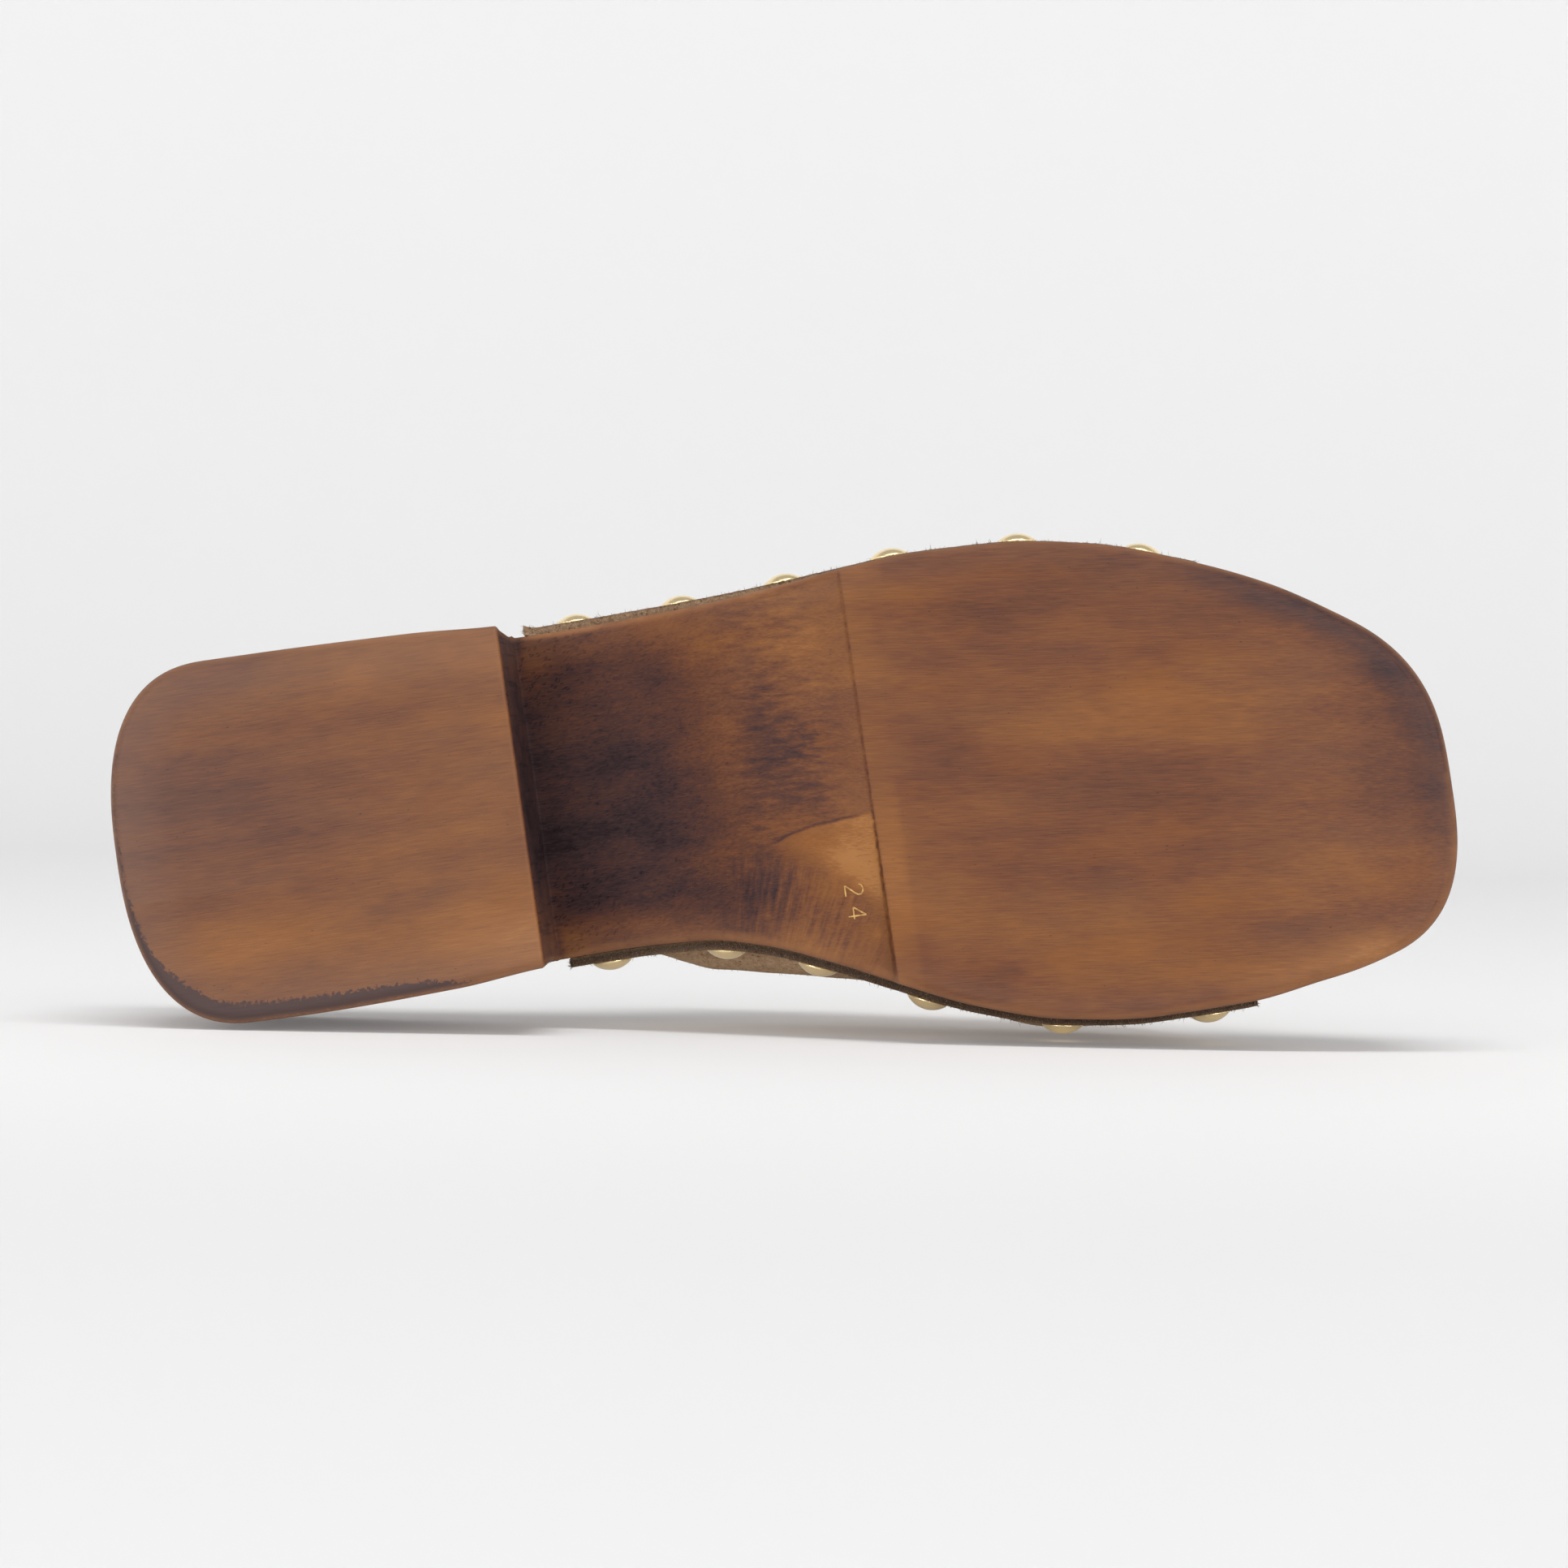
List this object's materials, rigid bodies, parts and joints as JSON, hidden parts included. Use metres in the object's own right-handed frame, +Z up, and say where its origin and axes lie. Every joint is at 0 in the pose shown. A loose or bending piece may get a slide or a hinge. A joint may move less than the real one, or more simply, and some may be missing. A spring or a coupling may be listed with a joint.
{
  "type": "wooden clog mule",
  "caption": "Right-foot clog mule: carved wooden sole with a block heel, and a brown suede vamp, open at toe and back, held on by brass dome nails.",
  "frame": {"origin": "centre of the bounding box, on the floor, with the shoe lying on its inner side", "axes": "+X towards the toe, +Y from the ground face of the sole towards the top of the vamp, +Z up towards the outer side of the foot"},
  "size_m": [0.2538, 0.0918, 0.0963],
  "materials": {
    "stained_wood": "satin brown stain, grain along the shoe",
    "brown_suede": "napped suede with raw cut edges",
    "brass": "polished"
  },
  "bodies": {
    "root": {"wooden_sole": "stained_wood", "suede_vamp": "brown_suede", "nail_outer_1": "brass", "nail_outer_2": "brass", "nail_outer_3": "brass", "nail_outer_4": "brass", "nail_outer_5": "brass", "nail_outer_6": "brass", "nail_inner_1": "brass", "nail_inner_2": "brass", "nail_inner_3": "brass", "nail_inner_4": "brass", "nail_inner_5": "brass", "nail_inner_6": "brass"}
  },
  "joints": []
}
